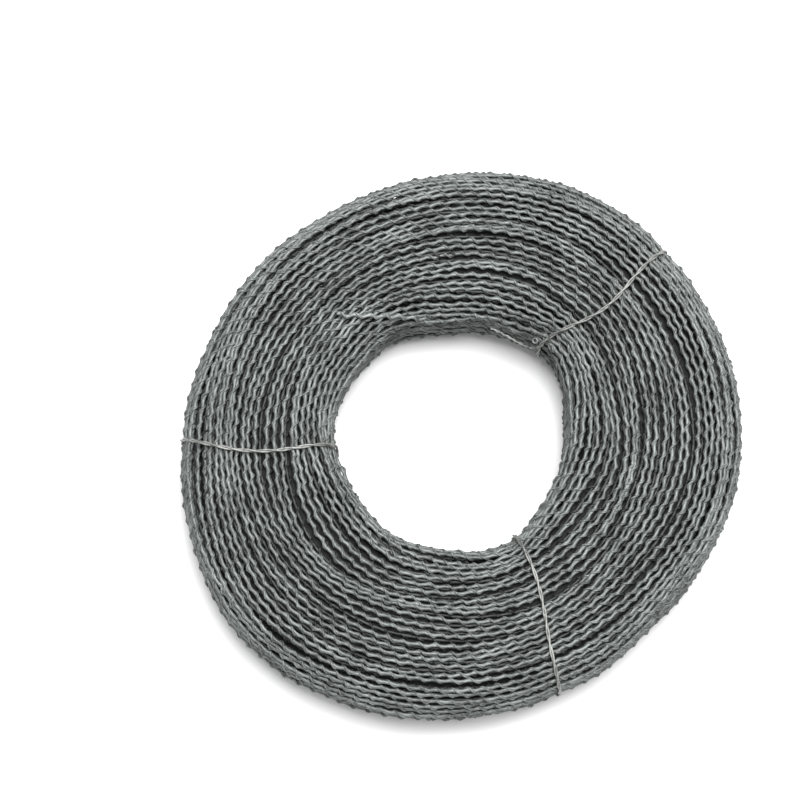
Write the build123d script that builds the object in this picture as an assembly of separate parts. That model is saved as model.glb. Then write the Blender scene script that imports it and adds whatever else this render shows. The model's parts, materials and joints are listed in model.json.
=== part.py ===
from build123d import *
import os
from math import atan2, cos, degrees, radians, sin, sqrt

# Driving dimensions, in millimetres and degrees
# The coil lies flat, with its axis upright and its underside at height zero.
outer_radius = 50.0
bore_radius = 21.0
coil_height = 20.0
crown_radius = 70.0
inner_shoulder_radius = 7.0
outer_shoulder_radius = 9.0
inner_foot_radius = 6.0
outer_foot_radius = 8.0

# The turns of wire show as a row of crests round the bundle. Each crest stands for a pair of turns.
# On the top the turns bunch together in four bands, and three deeper valleys part the bands.
turn_pitch = 1.26
crest_pitch = 2 * turn_pitch
crest_rise = 0.5
valley_rise = 1.3
valley_shares = (0.30, 0.47, 0.69)

# The wire's free end, drawn as the eight-sided envelope of the laid wire: it leaves the turns at its
# root and lies on them up to its tip.
wire_diameter = 1.0
envelope_sides = 8
end_bedding = 0.25
end_tip_radius = 30.8
end_tip_angle = 135.8
end_bend_radius = 26.3
end_bend_angle = 129.5
end_root_radius = 22.4
end_root_angle = 112.5
end_root_depth = 3.9

# The ties: a twisted pair of thin wires, also drawn as the envelope of the pair
tie_diameter = 0.6
tie_gap = 0.05
tie_slot_gap = 0.02
tie_slot_width = 0.9
tie_slot_reach = 3.0
tie_places = {
    "tie_left": (184.0, -6.5),
    "tie_upper_right": (43.5, -8.1),
    "tie_lower_right": (293.0, -6.6),
}

# The knot of the upper right tie, and the twisted tail that lies along the edge of the bore
knotted_tie = "tie_upper_right"
knot_radius = 0.6
tail_climb = 40.0
tail_end_angle = 72.0

bundle_middle = (bore_radius + outer_radius) / 2
tie_radius = tie_diameter / 2
shoulder_across = bore_radius + inner_shoulder_radius
shoulder_up = coil_height - crown_radius + sqrt(
    (crown_radius - inner_shoulder_radius) ** 2 - (bundle_middle - shoulder_across) ** 2
)


def round_the_axis(radius, angle, height):
    """A point at a radius from the coil's axis, at an angle from +X, at a height."""
    return Vector(radius * cos(radians(angle)), radius * sin(radians(angle)), height)


def bundle_section():
    """The tied bundle's section: crowned top, upright sides, flat underside and rounded corners."""
    eaves = coil_height - crown_radius + sqrt(crown_radius**2 - (bundle_middle - bore_radius) ** 2)
    corners = {
        (bore_radius, eaves): inner_shoulder_radius,
        (outer_radius, eaves): outer_shoulder_radius,
        (bore_radius, 0): inner_foot_radius,
        (outer_radius, 0): outer_foot_radius,
    }
    with BuildSketch() as section:
        with BuildLine():
            ThreePointArc((bore_radius, eaves), (bundle_middle, coil_height), (outer_radius, eaves))
            Polyline((outer_radius, eaves), (outer_radius, 0), (bore_radius, 0), (bore_radius, eaves))
        make_face()
        for (across, up), radius in corners.items():
            fillet(section.vertices().sort_by_distance((across, up, 0))[0], radius)
    return section.face()


def root_depth(point):
    """How deep the root between two crests lies at a point of the rim: deeper where it parts two bands."""
    for share in valley_shares:
        valley_across = bore_radius + share * (outer_radius - bore_radius)
        on_top = point.Y > coil_height / 2
        if on_top and abs(point.X - valley_across) < crest_pitch / 2:
            return valley_rise
    return crest_rise


def crests_along(rim):
    """Points along a stretch of the section's rim, crest and root in turn, each with its way out.

    The stretch begins and ends on a crest. Roots lie inside the rim by their depth.
    """
    middle = Vector(bundle_middle, coil_height / 2)
    steps = 2 * round(rim.length / crest_pitch)
    points = []
    for step in range(steps + 1):
        point = rim.position_at(step / steps)
        way_out = rim.tangent_at(step / steps).cross(Vector(0, 0, 1))
        if way_out.dot(point - middle) < 0:
            way_out = -way_out
        depth = root_depth(point) if step % 2 else 0
        points.append((point - way_out * depth, way_out))
    return points


# Two stretches of the rim are plain: the former keeps the bore's wall straight, and the floor
# keeps the underside level. The crests run over the top and outer side, and round the inner foot.
section_rim = bundle_section().outer_wire().edges()
underside = section_rim.sort_by(Axis.Y)[0]
bore_wall = section_rim.sort_by(Axis.X)[0]
crested = [edge for edge in section_rim if edge not in (underside, bore_wall)]
inner_foot, over_the_top = sorted(Wire.combine(crested), key=lambda wire: wire.length)
crests_over_the_top = crests_along(over_the_top)
crests_of_the_foot = crests_along(inner_foot)


def turned_coil():
    """The coil as one turned solid: the crested section revolved round the axis."""
    corners = [point for point, way_out in crests_over_the_top + crests_of_the_foot]
    with BuildSketch(Plane.XZ) as profile:
        with BuildLine():
            Polyline(*corners, close=True)
        make_face()
    return revolve(profile.sketch, Axis.Z, 360)


def free_end():
    """The wire's free end: it lies straight across the turns, bends down and goes in among them."""
    lying_height = coil_height + wire_diameter / 2 - end_bedding
    tip = round_the_axis(end_tip_radius, end_tip_angle, lying_height)
    bend = round_the_axis(end_bend_radius, end_bend_angle, lying_height)
    root = round_the_axis(end_root_radius, end_root_angle, lying_height - end_root_depth)
    path = FilletPolyline(tip, bend, root, radius=10 * wire_diameter)
    return sweep(Plane(path @ 0, z_dir=path % 0) * RegularPolygon(wire_diameter / 2, envelope_sides), path=path)


def chord_reach(slant, radius):
    """Distance outwards from the bundle's middle at which a slanted line meets a circle round the axis."""
    along = bundle_middle * cos(radians(slant))
    return sqrt(along**2 - bundle_middle**2 + radius**2) - along


def tie_plane(angle, slant):
    """Upright plane of a tie: its origin under the bundle's middle, its x direction outwards."""
    outwards = round_the_axis(1, angle + slant, 0)
    return Plane(
        round_the_axis(bundle_middle, angle, 0),
        x_dir=outwards,
        z_dir=outwards.cross(Vector(0, 0, 1)),
    )


def tie_corners(slant, growth=0.0):
    """Corners of a tie's loop in its own plane, grown outwards by growth from the middle of its wire.

    The tie runs straight from crest to crest over the top. In the bore and underneath it is let
    in flush with the turns, so that the bore stays clear and the coil stands on its turns.
    """
    proud = tie_radius + tie_gap + growth
    flush = growth - tie_radius - tie_slot_gap
    tips = crests_over_the_top[::2]
    lifts = [flush, flush] + [proud] * (len(tips) - 3) + [flush]
    foot_tips = crests_of_the_foot[::2]
    places = list(zip(tips + foot_tips, lifts + [flush] * len(foot_tips)))
    corners = [point + way_out * lift for (point, way_out), lift in places]
    return [(chord_reach(slant, corner.X), corner.Y) for corner in corners]


def tie_slot(angle, slant):
    """What a tie takes out of the underside and the bore's wall."""
    seat = make_face(Polyline(*tie_corners(slant, -tie_radius - tie_slot_gap), close=True))
    first_proud_crest = crests_over_the_top[4][0]
    last_proud_crest = crests_over_the_top[-3][0]
    under = Pos(0, first_proud_crest.Y) * Rectangle(
        2 * outer_radius, coil_height, align=(Align.CENTER, Align.MAX)
    )
    beside = Pos(chord_reach(slant, bore_radius + tie_slot_reach), last_proud_crest.Y) * Rectangle(
        coil_height, 2 * coil_height, align=(Align.MAX, Align.MAX)
    )
    return extrude(tie_plane(angle, slant) * (under + beside - seat), tie_slot_width / 2, both=True)


def tie(angle, slant):
    """One tie: its wire carried round the closed loop, with a mitre at each crest."""
    corners = tie_corners(slant)
    under_the_bundle = (0, corners[0][1])
    loop = Polyline(under_the_bundle, *corners, close=True)
    path = tie_plane(angle, slant) * loop
    start = Plane(path @ 0, z_dir=path % 0)
    return sweep(
        start * RegularPolygon(tie_radius, envelope_sides),
        path=path,
        transition=Transition.RIGHT,
    )


def knot_and_tail(angle, slant):
    """The knot at the edge of the bore and the twisted tail that bends along that edge."""

    def off_the_shoulder(growth):
        out = inner_shoulder_radius + growth
        return (
            shoulder_across - out * cos(radians(tail_climb)),
            shoulder_up + out * sin(radians(tail_climb)),
        )

    knot_across, knot_up = off_the_shoulder(knot_radius + tie_gap)
    tail_across, tail_up = off_the_shoulder(tie_radius + tie_gap)
    knot_middle = tie_plane(angle, slant).from_local_coords(
        Vector(chord_reach(slant, knot_across), knot_up)
    )
    knot_angle = degrees(atan2(knot_middle.Y, knot_middle.X))
    path = Pos(0, 0, tail_up) * CenterArc((0, 0), tail_across, knot_angle, tail_end_angle - knot_angle)
    start = Plane(path @ 0, z_dir=path % 0)
    tail = sweep(start * RegularPolygon(tie_radius, envelope_sides), path=path)
    return tail + Pos(knot_middle) * Sphere(knot_radius)


coil = turned_coil() + free_end()
ties = {}
for name, (angle, slant) in tie_places.items():
    coil -= tie_slot(angle, slant)
    ties[name] = tie(angle, slant)
ties[knotted_tie] += knot_and_tail(*tie_places[knotted_tie])

os.makedirs("parts", exist_ok=True)
export_step(coil, "parts/wire_coil.step")
for name, loop in ties.items():
    export_step(loop, f"parts/{name}.step")
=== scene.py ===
import json
import bpy
import numpy as np
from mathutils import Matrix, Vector


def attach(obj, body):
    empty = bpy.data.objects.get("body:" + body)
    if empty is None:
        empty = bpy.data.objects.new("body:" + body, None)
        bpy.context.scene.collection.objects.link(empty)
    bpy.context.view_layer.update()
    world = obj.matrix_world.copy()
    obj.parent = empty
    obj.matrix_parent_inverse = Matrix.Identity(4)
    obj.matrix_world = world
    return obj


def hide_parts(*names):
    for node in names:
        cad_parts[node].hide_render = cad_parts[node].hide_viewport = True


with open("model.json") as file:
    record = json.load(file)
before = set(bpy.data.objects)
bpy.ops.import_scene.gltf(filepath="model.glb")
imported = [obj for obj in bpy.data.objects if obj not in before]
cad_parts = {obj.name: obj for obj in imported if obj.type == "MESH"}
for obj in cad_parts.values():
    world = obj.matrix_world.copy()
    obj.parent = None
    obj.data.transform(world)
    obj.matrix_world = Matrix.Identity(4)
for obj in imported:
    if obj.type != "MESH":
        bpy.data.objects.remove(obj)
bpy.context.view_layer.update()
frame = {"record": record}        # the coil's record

# The bundle. Galvanised steel wire is wound turn on turn over a drum, slipped off and tied as a soft
# ring, so its section is a rounded oblong with a low crown, and seen from above it isn't quite round.
MM = 0.001
TURN = 2 * np.pi
outer_radius = 50.0 * MM
bore_radius = next(m for m in frame["record"]["mounts"] if m["name"] == "bore")["dims"]["r_mm"] * MM
bundle_height = 20.0 * MM
crown_radius = 70.0 * MM
inner_shoulder_radius = 7.0 * MM
outer_shoulder_radius = 9.0 * MM
inner_foot_radius = 6.0 * MM
outer_foot_radius = 8.0 * MM
arc_points = 60
outline_points = 1440


def section_outline(inset):
    """The bundle's section as a closed outline of (across, up) points, evenly spaced, with its outward
    directions. Formula: round the four corners and the crown the points are centre + (radius - inset)
    * (cos a, sin a), the arcs meet in straight runs, and the whole is respaced by its running length.
    It starts in the middle of the underside and goes up the bore, over the crown and down outside."""
    middle = (bore_radius + outer_radius) / 2
    crown_up = bundle_height - crown_radius
    inner_across = bore_radius + inner_shoulder_radius
    outer_across = outer_radius - outer_shoulder_radius
    inner_up = crown_up + np.sqrt((crown_radius - inner_shoulder_radius) ** 2 - (middle - inner_across) ** 2)
    outer_up = crown_up + np.sqrt((crown_radius - outer_shoulder_radius) ** 2 - (outer_across - middle) ** 2)
    inner_end = np.arctan2(inner_up - crown_up, inner_across - middle)
    outer_end = np.arctan2(outer_up - crown_up, outer_across - middle)
    arcs = (
        (bore_radius + inner_foot_radius, inner_foot_radius, inner_foot_radius, 1.5 * np.pi, np.pi),
        (inner_across, inner_up, inner_shoulder_radius, np.pi, inner_end),
        (middle, crown_up, crown_radius, inner_end, outer_end),
        (outer_across, outer_up, outer_shoulder_radius, outer_end, 0.0),
        (outer_radius - outer_foot_radius, outer_foot_radius, outer_foot_radius, 0.0, -0.5 * np.pi),
    )
    points = [np.array([[middle, inset]])]
    for across, up, radius, start, end in arcs:
        angle = np.linspace(start, end, arc_points)
        points.append(np.array([across, up]) + (radius - inset) * np.stack([np.cos(angle), np.sin(angle)], 1))
    points = np.concatenate(points + [points[0]])
    run = np.concatenate([[0.0], np.cumsum(np.linalg.norm(np.diff(points, axis=0), axis=1))])
    even = np.linspace(0.0, run[-1], outline_points + 1)
    outline = np.stack([np.interp(even, run, points[:, k]) for k in range(2)], 1)
    along = np.gradient(np.concatenate([outline[-3:-1], outline, outline[1:3]]), axis=0)[2:-2]
    outward = np.stack([-along[:, 1], along[:, 0]], 1)
    outward /= np.linalg.norm(outward, axis=1, keepdims=True)
    return outline, outward, run[-1]


# The ties' routes round the bundle: each one's angle at the bore, its angle at the rim, how far its
# middle is drawn aside between them and how far it snakes, in degrees counter-clockwise from +X.
# Each tie presses the turns in, within its reach and more deeply underneath. The change from the one
# depth to the other is steeper as pinch_change grows.
tie_routes = {
    "tie_left": (183.4, 179.5, 4.1, 0.1),
    "tie_upper_right": (51.3, 43.0, -5.7, -1.8),
    "tie_lower_right": (298.0, 290.7, -0.2, 0.8),
}
pinch_reach = 3.5 * MM
pinch_above = 0.25 * MM
pinch_below = 0.65 * MM
pinch_change = 2.5


def angle_from(angle, place):
    """The signed angle from place to angle, between minus and plus half a turn."""
    return (angle - place + np.pi) % TURN - np.pi


def tie_angle(route, share):
    """A tie's angle at a share of the way from the bore to the rim. Formula: a straight change from one
    to the other, plus half a sine wave drawn aside and a whole one for its snaking."""
    at_bore, at_rim, aside, snake = np.radians(route)
    return at_bore + (at_rim - at_bore) * share + aside * np.sin(np.pi * share) + snake * np.sin(TURN * share)


def smooth_round(values, angle):
    """A value that changes smoothly round the axis, given at even steps from +X. Formula: the sum of
    sine waves round the axis that passes through the values."""
    waves = np.fft.rfft(values) / len(values)
    smooth = np.full_like(angle, waves[0].real)
    for rate in range(1, len(waves)):
        share = 1.0 if 2 * rate == len(values) else 2.0
        smooth += share * (waves[rate].real * np.cos(rate * angle) - waves[rate].imag * np.sin(rate * angle))
    return smooth


# How far the tied bundle lies outside or inside its plain ring, every 20 degrees from +X, in mm. It is
# an oval whose long way lies near 50 degrees, and its bore is drawn out at the two upper ties.
rim_swell = (
    0.5, 0.9, 1.2, 1.7, 0.8, -0.4, -1.2, -1.2, -1.0,
    0.0, 1.4, 2.6, 1.6, 0.0, -1.4, -2.2, -2.5, -0.9,
)
bore_swell = (
    -2.5, -1.1, 1.2, 1.0, 0.6, 0.4, 2.1, 1.9, 2.2,
    1.5, 0.4, -0.5, -0.4, -1.3, -0.8, -1.5, -2.7, -3.1,
)


def rim_radius(angle):
    """The bundle's outer radius at an angle."""
    return outer_radius + smooth_round(rim_swell, angle) * MM


def bore_edge(angle):
    """The bundle's bore radius at an angle."""
    return bore_radius + smooth_round(bore_swell, angle) * MM


# The sealing wire's gauge. A galvanised core has a thinner wire laid round it as an open right-hand
# helix. Laying them together leaves the core itself wavy, so that it follows the wrap from side to side.
core_radius = 0.33 * MM
wrap_radius = 0.23 * MM
wrap_orbit = 0.40 * MM
core_swing = 0.12 * MM
wrap_lay = 2.75 * MM
turn_spacing = 1.26 * MM
wire_radius = wrap_orbit + wrap_radius
outline, outward, section_length = section_outline(wire_radius)
known_places = np.linspace(0.0, 1.0, len(outline))


def across_share(place):
    """How far a place round the section is from the bore, 0, to the rim, 1."""
    across = np.interp(np.mod(place, 1.0), known_places, outline[:, 0])
    return (across - bore_radius) / (outer_radius - bore_radius)


def pinched(place, angle, out_up):
    """How deep the ties press the turns in. Formula: a bell curve of the distance to each tie, deeper on
    the underside, where the ties lie between the turns and the ground."""
    share = across_share(place)
    reach = bore_radius + share * (outer_radius - bore_radius)
    strength = pinch_above + (pinch_below - pinch_above) * np.clip(-pinch_change * out_up, 0.0, 1.0)
    depth = np.zeros_like(share)
    for route in tie_routes.values():
        gap = angle_from(angle, tie_angle(route, share)) * reach
        depth += strength * np.exp(-(gap / pinch_reach) ** 2)
    return depth


def on_bundle(place, angle, depth):
    """The point on the bundle at a place round its section, from 0 to 1, and an angle round its axis,
    with its outward direction. Formula: the rim's swell fades evenly towards the bore, the bore's swell
    fades as a square towards the rim, and the point then goes inwards by depth and by the ties' pinch."""
    place = np.mod(place, 1.0)
    across, up = (np.interp(place, known_places, outline[:, k]) for k in range(2))
    out_across, out_up = (np.interp(place, known_places, outward[:, k]) for k in range(2))
    depth = depth + pinched(place, angle, out_up)
    share = (across - bore_radius) / (outer_radius - bore_radius)
    across = across + share * (rim_radius(angle) - outer_radius)
    across = across + (1 - share) ** 2 * (bore_edge(angle) - bore_radius)
    reach = (across - out_across * depth)[..., None]
    height = (up - out_up * depth)[..., None]
    around = np.stack([np.cos(angle), np.sin(angle)], -1)
    point = np.concatenate([around * reach, height], -1)
    normal = np.concatenate([around * out_across[..., None], out_up[..., None]], -1)
    return point, normal


# The dark heart of the bundle. Under the turns that show lie many more layers of the same wire, and
# only shade is seen between them, so one closed ring with the bundle's own form stands for them. Its
# near-black zinc is painted shade.
heart_depth = 1.9 * MM
heart_sides = 80
heart_rings = 120


def add_mesh(name, points, faces, slot, *nodes):
    """A mesh piece from an array of points and an array of faces, which stands for the nodes that it is
    given. The slot is not used."""
    mesh = bpy.data.meshes.new(name)
    mesh.vertices.add(len(points))
    mesh.vertices.foreach_set("co", points.astype(np.float32).ravel())
    corners = faces.shape[1]
    mesh.loops.add(faces.size)
    mesh.loops.foreach_set("vertex_index", faces.astype(np.int32).ravel())
    mesh.polygons.add(len(faces))
    mesh.polygons.foreach_set("loop_start", np.arange(0, faces.size, corners, dtype=np.int32))
    mesh.polygons.foreach_set("use_smooth", np.ones(len(faces), bool))
    mesh.update(calc_edges=True)
    mesh.validate()
    piece = bpy.data.objects.new(name, mesh)
    bpy.context.scene.collection.objects.link(piece)
    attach(piece, "root")
    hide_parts(*nodes)
    return piece


def ring_faces(rings, sides, closed):
    """Faces of four corners between neighbouring rings of points, and round each ring."""
    ring = np.arange(rings if closed else rings - 1)[:, None]
    side = np.arange(sides)[None, :]
    here = ring % rings * sides
    there = (ring + 1) % rings * sides
    beside = (side + 1) % sides
    return np.stack([here + side, here + beside, there + beside, there + side], -1).reshape(-1, 4)


class Socket:
    """A value in a material's node tree, for writing its maths as plain expressions."""

    def __init__(self, tree, socket):
        self.tree, self.socket = tree, socket

    def node(self, kind, settings=None, out=0, **values):
        """Adds a node: its settings are set first, then the values or links of its sockets."""
        made = self.tree.nodes.new(kind)
        for name, value in (settings or {}).items():
            setattr(made, name, value)
        for name, value in values.items():
            key = int(name[1:]) if name[0] == "_" and name[1:].isdigit() else name.replace("_", " ")
            target = made.inputs[key]
            if isinstance(value, Socket):
                self.tree.links.new(value.socket, target)
            else:
                target.default_value = value
        return Socket(self.tree, made.outputs[out])

    def maths(self, operation, other, swapped=False):
        """Adds a maths node for this value and another, with their order swapped if it is asked for."""
        first, second = (other, self) if swapped else (self, other)
        return self.node("ShaderNodeMath", {"operation": operation}, _0=first, _1=second)

    def __add__(self, other):
        return self.maths("ADD", other)

    def __sub__(self, other):
        return self.maths("SUBTRACT", other)

    def __rsub__(self, other):
        return self.maths("SUBTRACT", other, True)

    def __mul__(self, other):
        return self.maths("MULTIPLY", other)

    __radd__ = __add__
    __rmul__ = __mul__


# The zinc's unevenness: fine grain, spangles of about a millimetre, and patches of several. Each has a
# scale in waves a metre and a share in the tone. The spangles also stand up from the coat.
grain_scale = 2600.0
grain_share = 0.7
spangle_scale = 850.0
spangle_share = 1.4
spangle_rise = 0.4 * MM
patch_scale = 170.0
patch_share = 1.2
zinc_metallic = 0.35
sheen_change = 0.3


def galvanised(name, pale, dark, roughness):
    """Dull zinc on drawn wire: fine pale and dark mottling, slow drifts of tone and an uneven sheen."""
    material = bpy.data.materials.new(name)
    material.use_nodes = True
    tree = material.node_tree
    shader = tree.nodes["Principled BSDF"]
    shader.inputs["Metallic"].default_value = zinc_metallic
    start = Socket(tree, None)
    where = start.node("ShaderNodeTexCoord", out="Object")
    grain = start.node("ShaderNodeTexNoise", Vector=where, Scale=grain_scale, Detail=3.0)
    spangle = start.node("ShaderNodeTexNoise", Vector=where, Scale=spangle_scale, Detail=1.0)
    patches = start.node("ShaderNodeTexNoise", Vector=where, Scale=patch_scale, Detail=2.0)
    tone = (grain - 0.5) * grain_share + (spangle - 0.5) * spangle_share + (patches - 0.5) * patch_share + 0.5
    colour = start.node(
        "ShaderNodeMix", {"data_type": "RGBA"}, out=2, Factor=tone, _6=(*dark, 1), _7=(*pale, 1)
    )
    tree.links.new(colour.socket, shader.inputs["Base Color"])
    bump = start.node("ShaderNodeBump", Height=spangle, Strength=1.0, Distance=spangle_rise)
    tree.links.new(bump.socket, shader.inputs["Normal"])
    sheen = (grain - 0.5) * sheen_change + roughness
    tree.links.new(sheen.socket, shader.inputs["Roughness"])
    return material


heart_places, heart_angles = np.meshgrid(
    np.arange(heart_sides) / heart_sides, np.arange(heart_rings) / heart_rings * TURN
)
heart_points, _ = on_bundle(heart_places, heart_angles, heart_depth)
heart_faces = ring_faces(heart_rings, heart_sides, True)
heart = add_mesh("bundle_heart", heart_points.reshape(-1, 3), heart_faces, "wire", "wire_coil")
# The heart's zinc is nearly black: painted shade on the same wire as the turns.
heart_painted_shade = galvanised(
    "heart_zinc_painted_shade", pale=(0.008, 0.0085, 0.009), dark=(0.003, 0.003, 0.003), roughness=0.8
)
heart.data.materials.append(heart_painted_shade)

# The turns, of galvanised steel wire. They creep across the bundle in one long winding, bunch together
# and part again, and a second layer, nested half a spacing across, shows where they part, dimmed by
# painted shade in its zinc.
turns = int(round(section_length / turn_spacing))
layer_depth = 0.8 * MM
# The wire's middle line stays its radius and a gap above the floor, with room for the slack of the wrap.
floor_gap = 0.13 * MM
valley_width = 2.0 * MM
valley_push = 0.45 * MM
valley_depth = 0.45 * MM
# Each valley's share of the way from the bore to the rim, and its strength, every 30 degrees from +X.
valleys = (
    (
        (0.50, 0.47, 0.45, 0.45, 0.48, 0.46, 0.45, 0.50, 0.50, 0.47, 0.42, 0.43),
        (0.6, 0.8, 1.0, 0.9, 0.8, 0.8, 0.8, 1.0, 1.0, 0.4, 0.5, 0.6),
    ),
    (
        (0.30, 0.30, 0.31, 0.34, 0.35, 0.35, 0.35, 0.33, 0.31, 0.29, 0.26, 0.25),
        (0.7, 0.7, 0.4, 0.6, 0.7, 0.7, 0.3, 0.3, 0.4, 0.9, 0.8, 0.7),
    ),
    (
        (0.68, 0.69, 0.70, 0.70, 0.66, 0.62, 0.60, 0.60, 0.60, 0.62, 0.66, 0.68),
        (1.0, 1.0, 0.6, 0.2, 0.2, 0.3, 0.5, 0.9, 0.4, 0.2, 0.2, 0.5),
    ),
)
# The wire's own unsteadiness, each part with its size and its slowest and quickest waves to a turn. The
# turns stray more up and down than aside, by the sink share. The lay's size is an angle in radians.
unsteadiness = ((0.17 * MM, 0.6, 6.3), (0.05 * MM, 8.0, 24.0), (0.02 * MM, 26.0, 70.0))
sink_share = 1.4
lay_drift = (0.55, 2.0, 16.0)
slack_drift = (0.045 * MM, 10.0, 60.0)
drift_waves = 15
# Whole families of turns stray by waves between two sizes, in mm. Each wave goes so many times round the
# axis and so many times round the section.
stray_sizes = (0.15, 0.30)
stray_waves = ((1, 1), (1, 3), (2, 2), (2, 4), (3, 3), (3, 5), (4, 6))
seeds = {"stray": 5, "aside": 11, "sink": 23, "lay": 41, "slack": 43}
# The section's upper side lies between two places round it. A turn is measured in so many steps.
upper_places = (0.25, 0.80)
steps_to_a_turn = 400


def place_at_share(share):
    """The place round the section, on its upper side, at a share of the way from the bore to the rim."""
    upper = (known_places > upper_places[0]) & (known_places < upper_places[1])
    across = bore_radius + share * (outer_radius - bore_radius)
    return np.interp(across, outline[upper, 0], known_places[upper])


def drift(turn, size, slowest, quickest, seed):
    """A smooth unsteady value along the wire, counted in turns. Formula: a sum of sine waves of uneven
    rates between slowest and quickest to a turn, scaled so that its usual size is as given."""
    chance = np.random.default_rng(seed)
    rates = chance.uniform(slowest, quickest, drift_waves)
    starts = chance.uniform(0, TURN, drift_waves)
    value = np.zeros_like(turn)
    for rate, start in zip(rates, starts):
        value += np.sin(TURN * rate * turn + start)
    return value * size / np.sqrt(drift_waves / 2)


def stray(place, angle):
    """How far whole families of turns wander to the side. Formula: a sum of waves that go a few times
    round the axis and a few times round the section."""
    chance = np.random.default_rng(seeds["stray"])
    value = np.zeros_like(place)
    for around, across in stray_waves:
        size = chance.uniform(*stray_sizes) * MM
        value += size * np.sin(around * angle + TURN * across * place + chance.uniform(0, TURN))
    return value


def turn_line(turn, layer):
    """The line of the wire at a count of turns. Formula: the place round the section is turn / turns, so
    the wire creeps on by one spacing a turn. It strays with its family, is pushed away from each valley's
    bottom by the slope of a bell curve, sinks there, and is unsteady by itself. The floor holds it up."""
    angle = np.mod(turn, 1.0) * TURN
    place = (turn + 0.5 * layer) / turns
    aside = stray(place, angle)
    sink = layer_depth * layer
    for waves in unsteadiness:
        aside = aside + drift(turn, *waves, seeds["aside"] + layer)
        sink = sink + sink_share * drift(turn, *waves, seeds["sink"] + layer)
    for shares, strengths in valleys:
        gap = (place - place_at_share(smooth_round(shares, angle))) * section_length / valley_width
        strength = smooth_round(strengths, angle)
        aside = aside + valley_push * strength * gap * np.exp(0.5 - 0.5 * gap**2)
        sink = sink + valley_depth * strength * np.exp(-0.5 * gap**2)
    point, normal = on_bundle(place + aside / section_length, angle, sink)
    point[..., 2] = np.maximum(point[..., 2], wire_radius + floor_gap)
    return point, normal


def tube(centres, across, beside, radius, sides):
    """The points and faces of a round tube. Formula: centre + radius * (cos a * across + sin a * beside)
    for each ring, and a ring of no radius more at each end closes the tube with a flat cut."""
    ends = np.concatenate([[0], np.arange(len(centres)), [len(centres) - 1]])
    angle = np.arange(sides) / sides * TURN
    thick = np.full(len(ends), radius)
    thick[[0, -1]] = 0.0
    round_it = np.cos(angle)[:, None] * across[ends, None] + np.sin(angle)[:, None] * beside[ends, None]
    rings = centres[ends, None] + thick[:, None, None] * round_it
    return rings.reshape(-1, 3), ring_faces(len(ends), sides, False)


def unit(vectors):
    """The same vectors, each made one long."""
    return vectors / np.linalg.norm(vectors, axis=1, keepdims=True)


def directions(line):
    """The unit direction of a line of points at each of them."""
    return unit(np.gradient(line, axis=0))


def running_length(line):
    """The length along a line of points, up to each of them."""
    return np.concatenate([[0.0], np.cumsum(np.linalg.norm(np.diff(line, axis=0), axis=1))])


def joined(parts):
    """Several sets of points and faces as one set."""
    starts = np.cumsum([0] + [len(points) for points, _ in parts[:-1]])
    points = np.concatenate([points for points, _ in parts])
    faces = np.concatenate([faces + start for (_, faces), start in zip(parts, starts)])
    return points, faces


def laid_wire(line, upward, phase, slack, swing_out, core_sides, core_skip, wrap_sides):
    """Core and wrap along a line of stations. Formula: with n the upward direction, b the direction
    beside it and p the phase, the swing is cos p * n + sin p * b. The wrap is a tube on line + (wrap
    orbit + slack) * swing, pressed a little into the core, a tube on line + swing out * sin p * b."""
    along = directions(line)
    beside = unit(np.cross(along, upward))
    upward = np.cross(beside, along)
    swing = np.cos(phase)[:, None] * upward + np.sin(phase)[:, None] * beside
    few = np.unique(np.append(np.arange(0, len(line), core_skip), len(line) - 1))
    core_line = line + swing_out * np.sin(phase)[:, None] * beside
    core = tube(core_line[few], upward[few], beside[few], core_radius, core_sides)
    wrap_line = line + (wrap_orbit + slack)[:, None] * swing
    wrap = tube(wrap_line, swing, np.cross(directions(wrap_line), swing), wrap_radius, wrap_sides)
    return joined([core, wrap])


def wound_turns(first, last, layer, stations, core_sides, core_skip, wrap_sides):
    """The points and faces of the winding from one count of turns to another. Formula: stations are
    evenly spaced by the running length from the first turn of all, which is also what the phase of the
    wrap is worked out from, so that a stretch carries on from the one before it."""
    rough = np.linspace(0, turns, turns * steps_to_a_turn + 1)
    run = running_length(turn_line(rough, layer)[0])
    start, end = np.interp((first, last), rough, run)
    even = np.linspace(start, end, int((end - start) / wrap_lay * stations) + 1)
    turn = np.interp(even, run, rough)
    line, upward = turn_line(turn, layer)
    phase = TURN * even / wrap_lay + drift(turn, *lay_drift, seeds["lay"] + layer)
    slack = drift(turn, *slack_drift, seeds["slack"] + layer)
    return laid_wire(line, upward, phase, slack, core_swing, core_sides, core_skip, wrap_sides)


# How fine a stretch is: stations to a lay of the wrap, sides of the core, stations from one of the
# core's rings to the next, and sides of the wrap.
fine = (8, 6, 2, 5)
plain = (6, 5, 3, 4)
lower = (5, 4, 5, 4)
zinc = galvanised(
    "zinc_on_turns", pale=(0.158, 0.172, 0.167), dark=(0.036, 0.0396, 0.039), roughness=0.55
)
# The second layer's zinc is far darker than the turns' zinc: painted shade on the same wire.
painted_shade_zinc = galvanised(
    "zinc_painted_shade", pale=(0.042, 0.0455, 0.0445), dark=(0.004, 0.0044, 0.0043), roughness=0.6
)
# Each stretch of the winding: its first and last count of turns, its layer, its fineness and finish.
stretches = {
    "turns_under_bore": (0, 7, 0, plain, zinc),
    "turns_bore": (7, 19, 0, fine, zinc),
    "turns_crown_inner": (19, 30, 0, fine, zinc),
    "turns_crown_outer": (30, 40, 0, fine, zinc),
    "turns_rim": (40, 50, 0, fine, zinc),
    "turns_foot": (50, 58, 0, fine, zinc),
    "turns_under_rim": (58, turns, 0, plain, zinc),
    "turns_below_bore": (9.5, 32.5, 1, lower, painted_shade_zinc),
    "turns_below_rim": (32.5, 57.5, 1, lower, painted_shade_zinc),
}
for name, (first, last, layer, fineness, finish) in stretches.items():
    stretch = add_mesh(name, *wound_turns(first, last, layer, *fineness), "wire", "wire_coil")
    stretch.data.materials.append(finish)

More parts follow.
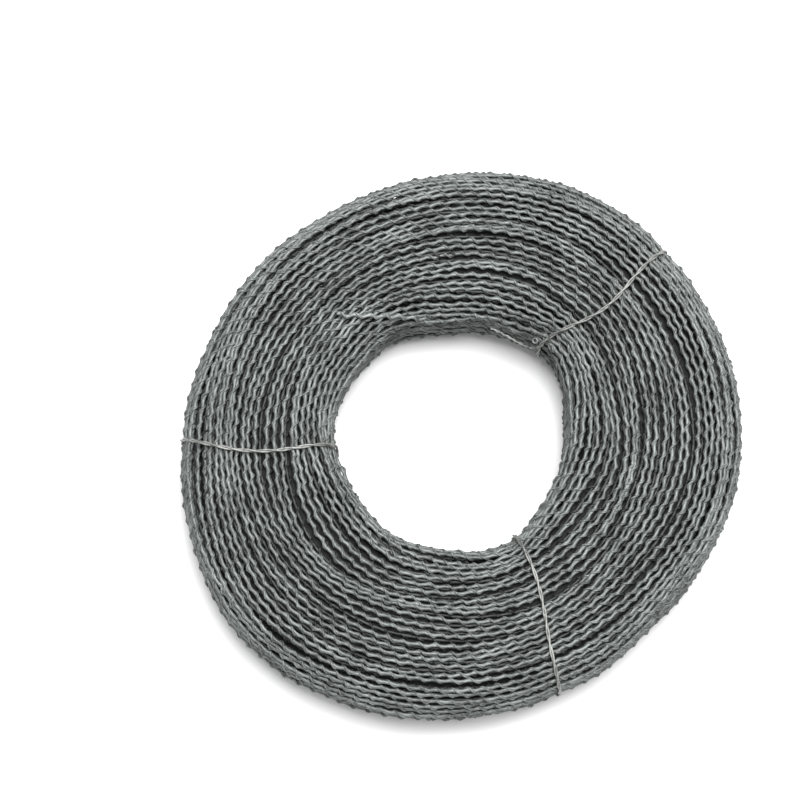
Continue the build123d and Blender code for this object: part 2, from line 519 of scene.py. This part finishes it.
# The loose end of the galvanised wire. It comes up out of the inner turns and lies free over the crown,
# where nothing presses its waves flat. Each place along it has a bearing from +X, a share of the way
# from the bore to the rim, and a lift off the bundle.
end_bearings = np.radians((98.0, 102.0, 106.4, 110.8, 114.9, 120.1, 125.3, 129.4, 133.5, 136.1))
end_shares = (0.03, 0.03, 0.035, 0.048, 0.067, 0.093, 0.133, 0.182, 0.245, 0.319)
end_lifts = np.array((-1.3, -0.6, 0.1, 0.5, 0.7, 0.8, 0.85, 0.9, 0.95, 1.0)) * MM
end_swing = 0.20 * MM
end_steps = 400
# Its fineness is given as that of the turns is, with the stations to a lay on their own.
end_stations = 12
end_fineness = (10, 1, 8)
easing_window = 61


def eased(places, values, at):
    """A smooth curve near a few values. Formula: the straight runs between them, averaged over a window
    of steps. Past each end they carry on as their own image, turned half round about that end."""
    half = easing_window // 2
    straight = np.interp(at, places, values)
    before = 2 * straight[0] - straight[half:0:-1]
    after = 2 * straight[-1] - straight[-2:-half - 2:-1]
    window = np.ones(easing_window) / easing_window
    return np.convolve(np.concatenate([before, straight, after]), window, "valid")


bearing = np.linspace(end_bearings[0], end_bearings[-1], end_steps)
end_place = place_at_share(eased(end_bearings, end_shares, bearing))
end_line, end_upward = on_bundle(end_place, bearing, -eased(end_bearings, end_lifts, bearing))
end_run = running_length(end_line)
even = np.linspace(0, end_run[-1], int(end_run[-1] / wrap_lay * end_stations) + 1)
end_line = np.stack([np.interp(even, end_run, end_line[:, k]) for k in range(3)], 1)
end_upward = np.stack([np.interp(even, end_run, end_upward[:, k]) for k in range(3)], 1)
end_phase = TURN * even / wrap_lay
end_mesh = laid_wire(end_line, end_upward, end_phase, np.zeros_like(even), end_swing, *end_fineness)
loose_end = add_mesh("loose_end", *end_mesh, "wire", "wire_coil")
# The end's zinc is lighter than the turns' zinc: painted light on the same wire, which lies free over the
# crown.
end_zinc_painted_light = galvanised("zinc_on_end_painted_light", pale=(0.19, 0.205, 0.2), dark=(0.07, 0.077, 0.075), roughness=0.5)
loose_end.data.materials.append(end_zinc_painted_light)

# The ties. Each is a pair of thin galvanised strands twisted together, passed through the bore and drawn
# tight round the bundle by hand, so that it beds a little into the knuckles of the turns.
tie_width = 0.70 * MM
strand_radius = tie_width / 4
strand_lay = 7.0 * MM
strand_sides = 8
strand_bedding = 0.12 * MM
tie_steps = 700


def twisted_pair(line, upward, lay, radius):
    """Two strands laid round each other. Formula: strand k is a tube on line + radius * (cos p * n +
    sin p * b), with p the running length over the lay, in turns, and half a turn between the strands."""
    beside = unit(np.cross(directions(line), upward))
    run = running_length(line)
    strands = []
    for half in (0.0, np.pi):
        phase = TURN * run / lay + half
        swing = np.cos(phase)[:, None] * upward + np.sin(phase)[:, None] * beside
        centre = line + radius * swing
        strands.append(tube(centre, swing, np.cross(directions(centre), swing), radius, strand_sides))
    return joined(strands)


def tie_line(route, places):
    """The middle line of a tie round the bundle, resting on the knuckles of the turns and on the floor."""
    proud = wire_radius + 2 * strand_radius - strand_bedding
    point, normal = on_bundle(places, tie_angle(route, np.clip(across_share(places), 0, 1)), -proud)
    point[..., 2] = np.maximum(point[..., 2], 2 * strand_radius)
    return point, normal


tie_zinc = galvanised(
    "zinc_on_ties", pale=(0.24, 0.245, 0.234), dark=(0.075, 0.077, 0.075), roughness=0.5
)
for name, route in tie_routes.items():
    line, upward = tie_line(route, np.linspace(0.0, 1.0, tie_steps))
    strands = add_mesh(name + "_strands", *twisted_pair(line, upward, strand_lay, strand_radius), "tie", name)
    strands.data.materials.append(tie_zinc)

# The knot of the upper right tie, made by twisting its two ends together. One strand's end is curled
# beside the pair at the edge of the bore, and the twisted tail runs off along that edge, a little clear
# of the turns.
knot_share = 0.03
knot_bearing = 53.3
knot_lift = 0.3 * MM
knot_upright = 1.5
curl_radius = 0.45 * MM
curl_rise = 0.4 * MM
curl_turns = 1.7
curl_strand_radius = 0.15 * MM
curl_steps = 60
tail_strand_radius = 0.1 * MM
tail_lay = 2.5 * MM
# The tail's places, each with a bearing from +X, a distance from the axis and a height.
tail_bearings = np.radians((48.5, 49.6, 52.8, 57.1, 62.1, 67.3, 71.3, 75.3))
tail_reaches = np.array((22.3, 21.5, 20.7, 20.6, 20.7, 20.9, 21.0, 21.2)) * MM
tail_heights = np.array((16.6, 15.6, 14.4, 13.5, 13.0, 13.0, 13.2, 13.4)) * MM
tail_wave = 0.05 * MM
tail_waves = 9
tail_steps = 400


def single_strand(line):
    """One strand as a round tube along a line of points. Formula: the tube's rings stand square to the
    line, with one of their directions as near upright as can be."""
    along = directions(line)
    across = unit(np.cross(along, (0.0, 0.0, 1.0)))
    return tube(line, across, np.cross(across, along), curl_strand_radius, strand_sides)


# The curl's axis is the bundle's outward direction there, turned towards upright.
knot_centre, knot_out = on_bundle(
    np.array([place_at_share(knot_share)]), np.radians([knot_bearing]), -(wire_radius + knot_lift)
)
knot_out = unit(knot_out + (0.0, 0.0, knot_upright))
knot_side = unit(np.cross(knot_out, (0.0, 0.0, 1.0)))
knot_along = np.cross(knot_side, knot_out)
curl = np.linspace(0.0, curl_turns * TURN, curl_steps)[:, None]
curl_line = knot_centre + curl_radius * (np.cos(curl) * knot_side + np.sin(curl) * knot_along)
curl_line += curl / curl[-1] * curl_rise * knot_out
tail_run = np.linspace(0.0, 1.0, tail_steps)
tail_places = np.linspace(0.0, 1.0, len(tail_bearings))
tail_angle = eased(tail_places, tail_bearings, tail_run)
tail_reach = eased(tail_places, tail_reaches, tail_run) + tail_wave * np.sin(tail_waves * TURN * tail_run)
tail_up = eased(tail_places, tail_heights, tail_run)
tail_line = np.stack([tail_reach * np.cos(tail_angle), tail_reach * np.sin(tail_angle), tail_up], 1)
tail = twisted_pair(tail_line, np.tile((0.0, 0.0, 1.0), (tail_steps, 1)), tail_lay, tail_strand_radius)
knot_mesh = joined([single_strand(curl_line), tail])
knot = add_mesh("tie_upper_right_knot", *knot_mesh, "tie", "tie_upper_right")
knot.data.materials.append(tie_zinc)

# The camera stands over the coil and a little towards the front, with a long lens. It aims to the left
# of the coil's middle and behind it, which puts the coil low and to the right in the picture.
camera_distance = 0.5
camera_tilt = np.radians(13.0)
aim = Vector((-10.9 * MM, 8.0 * MM, 10 * MM))
camera_data = bpy.data.cameras.new("camera")
camera_data.lens = 125.0
camera_data.sensor_width = 36.0
camera_data.clip_start = 0.05
camera_data.clip_end = 20.0
camera = bpy.data.objects.new("camera", camera_data)
bpy.context.scene.collection.objects.link(camera)
back = Vector((0.0, -np.sin(camera_tilt), np.cos(camera_tilt)))
camera.location = aim + camera_distance * back
camera.rotation_mode = "QUATERNION"
camera.rotation_quaternion = (-back).to_track_quat("-Z", "Y")
bpy.context.scene.camera = camera

# The floor is a sheet of matt pale card, laid flat under the coil. It reaches far past the picture, so
# that no edge of it shows.
floor_reach = 3.0
card_colour = (0.62, 0.62, 0.62, 1)
card_roughness = 0.9
floor_corners = np.array([[-1, -1, 0], [1, -1, 0], [1, 1, 0], [-1, 1, 0]]) * floor_reach
floor_mesh = bpy.data.meshes.new("floor")
floor_mesh.from_pydata(floor_corners.tolist(), [], [(0, 1, 2, 3)])
floor = bpy.data.objects.new("floor", floor_mesh)
bpy.context.scene.collection.objects.link(floor)
card = bpy.data.materials.new("white_card")
card.use_nodes = True
card.node_tree.nodes["Principled BSDF"].inputs["Base Color"].default_value = card_colour
card.node_tree.nodes["Principled BSDF"].inputs["Roughness"].default_value = card_roughness
floor.data.materials.append(card)

# The light is a square soft box nearly overhead, in a white tent. Together they are bright enough for
# the card to come out white, so that only the deep shade beside the coil shows on it.
key_place = Vector((0.09, 0.14, 1.0))
key_width = 0.55
key_power = 25.0
tent_strength = 1.0
key_data = bpy.data.lights.new("key_light", "AREA")
key_data.size = key_width
key_data.energy = key_power
key_light = bpy.data.objects.new("key_light", key_data)
bpy.context.scene.collection.objects.link(key_light)
key_light.location = key_place
key_light.rotation_mode = "QUATERNION"
key_light.rotation_quaternion = key_place.to_track_quat("Z", "Y")
world = bpy.data.worlds.new("studio")
world.use_nodes = True
world.node_tree.nodes["Background"].inputs["Color"].default_value = (1, 1, 1, 1)
world.node_tree.nodes["Background"].inputs["Strength"].default_value = tent_strength
bpy.context.scene.world = world
bpy.context.scene.view_settings.view_transform = "Standard"
